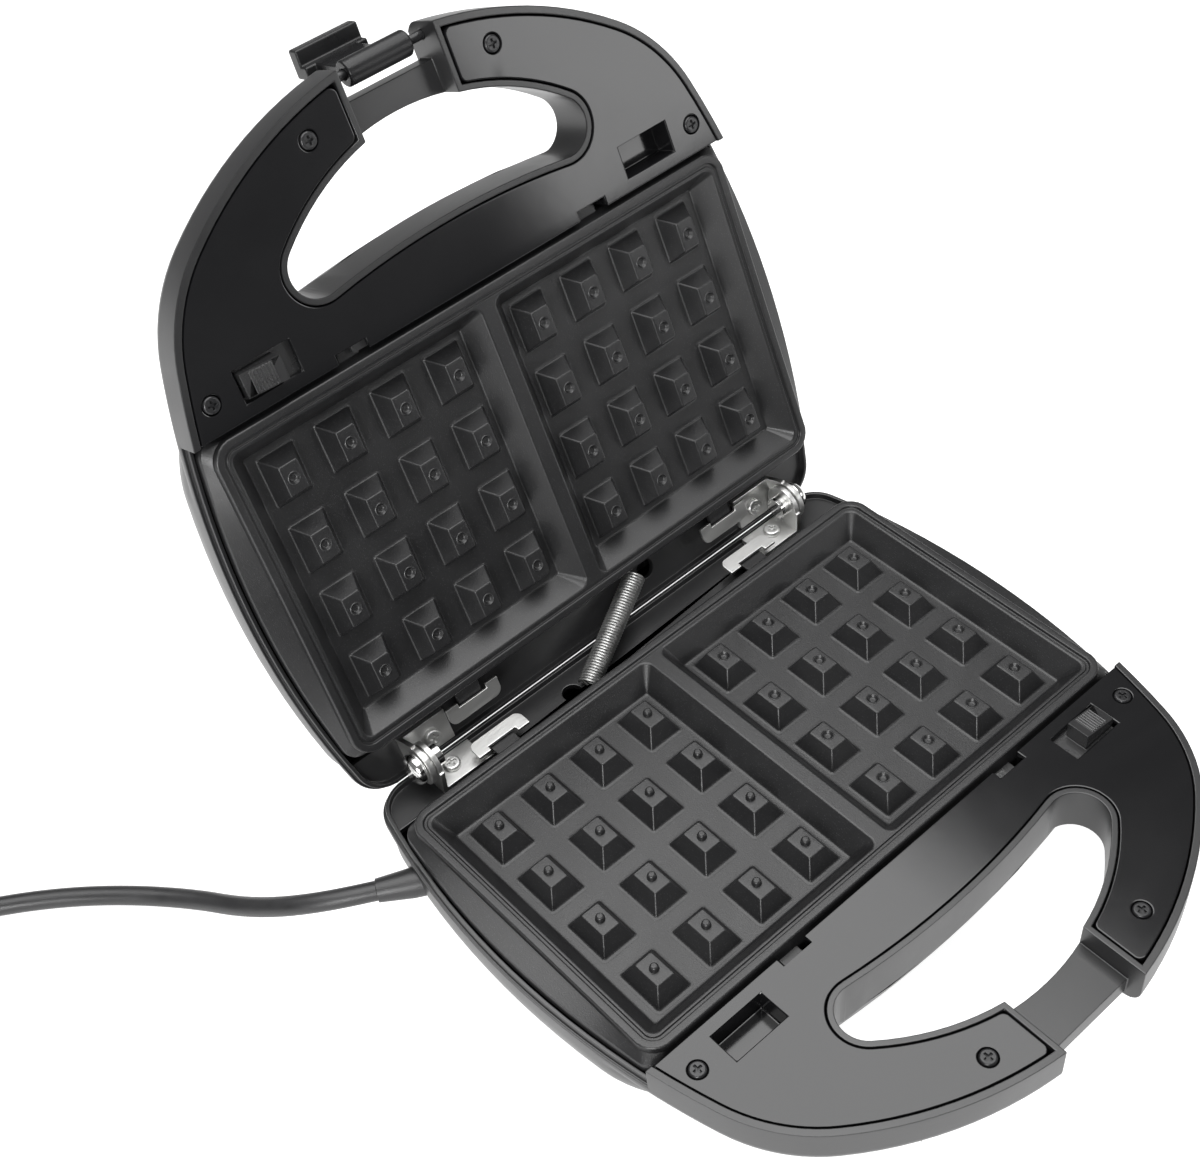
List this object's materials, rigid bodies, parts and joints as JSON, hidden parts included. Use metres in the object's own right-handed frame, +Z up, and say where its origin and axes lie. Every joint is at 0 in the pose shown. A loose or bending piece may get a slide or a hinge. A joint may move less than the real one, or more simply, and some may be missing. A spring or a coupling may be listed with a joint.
{
  "type": "waffle maker",
  "caption": "Hinged electric waffle maker, stored open, with facing non-stick plates of tapered studs, loop handles, a swing latch, release sliders and a coiled mains lead.",
  "frame": {"origin": "on the table, under the middle of the open object's box without the mains lead", "axes": "+X to the right seen from the handles, +Y from the handles to the hinge, +Z up"},
  "size_m": [0.4921, 0.3444, 0.2473],
  "materials": {
    "gloss_black_shell": "gloss",
    "gloss_black_cover": "high gloss",
    "black_screw": "satin black",
    "nonstick_plate": "satin dark grey non-stick coating",
    "zinc_steel": "bright zinc plate",
    "spring_steel": "plain bright wire",
    "reflector_aluminium": "bright sheet",
    "element_steel": "dull sheath",
    "heat_plastic": "matt",
    "satin_black_plastic": "satin",
    "foot_rubber": "matt",
    "cord_black": "semi-matt",
    "tie_plastic": "matt",
    "blade_brass": "bright",
    "lens_red": "clear red",
    "lamp_glass": "clear"
  },
  "bodies": {
    "base": {"base_shell": "gloss_black_shell", "base_handle_cover": "gloss_black_cover", "base_cover_screws": "black_screw", "base_waffle_plate": "nonstick_plate", "base_plate_clip_left": "zinc_steel", "base_plate_clip_right": "zinc_steel", "base_reflector_pan": "reflector_aluminium", "base_reflector_screws": "zinc_steel", "base_heating_element": "element_steel", "base_thermostat": "heat_plastic", "base_hinge_screws": "zinc_steel", "base_slider_spring": "spring_steel", "base_hinge_bracket_left": "zinc_steel", "base_hinge_bracket_right": "zinc_steel", "hinge_pin_left": "zinc_steel", "hinge_pin_right": "zinc_steel", "hinge_washers": "zinc_steel", "thermal_fuse": "heat_plastic", "terminal_block": "heat_plastic", "rubber_feet": "foot_rubber", "cord_clamp": "heat_plastic", "wire_sleeve": "spring_steel", "cord_gland": "cord_black", "power_cord": "cord_black", "cord_coil": "cord_black", "cord_tail": "cord_black", "cord_tie": "tie_plastic", "plug": "cord_black", "plug_blades": "blade_brass"},
    "lid": {"lid_shell": "gloss_black_shell", "lid_handle_cover": "gloss_black_cover", "lid_cover_screws": "black_screw", "lid_waffle_plate": "nonstick_plate", "lid_plate_clip_left": "zinc_steel", "lid_plate_clip_right": "zinc_steel", "lid_reflector_pan": "reflector_aluminium", "lid_reflector_screws": "zinc_steel", "lid_heating_element": "element_steel", "lid_thermostat": "heat_plastic", "lid_hinge_screws": "zinc_steel", "lid_slider_spring": "spring_steel", "lid_hinge_bracket_left": "zinc_steel", "lid_hinge_bracket_right": "zinc_steel", "latch_pin": "zinc_steel", "indicator_lenses": "lens_red", "indicator_lamps": "lamp_glass"},
    "latch": {"latch_clip": "satin_black_plastic"},
    "base_slider": {"base_release_slider": "satin_black_plastic"},
    "lid_slider": {"lid_release_slider": "satin_black_plastic"}
  },
  "joints": [
    {"name": "lid_hinge", "type": "hinge", "parent": "base", "child": "lid", "pos_m": [0, 0.04806, 0.044], "axis": [1, 0, 0], "range_deg": [0, 112.5], "deforming": ["wire_sleeve"]},
    {"name": "latch_pivot", "type": "hinge", "parent": "lid", "child": "latch", "pos_m": [0, 0.13996, 0.23973], "axis": [1, 0, 0], "range_deg": [0, 176]},
    {"name": "lower_release", "type": "slide", "parent": "base", "child": "base_slider", "axis": [-1, 0, 0], "range_m": [0, 0.005], "stiffness_N_per_m": 300, "springref_m": -0.002, "deforming": ["base_slider_spring"]},
    {"name": "upper_release", "type": "slide", "parent": "lid", "child": "lid_slider", "axis": [1, 0, 0], "range_m": [0, 0.005], "stiffness_N_per_m": 300, "springref_m": -0.002, "deforming": ["lid_slider_spring"]}
  ]
}
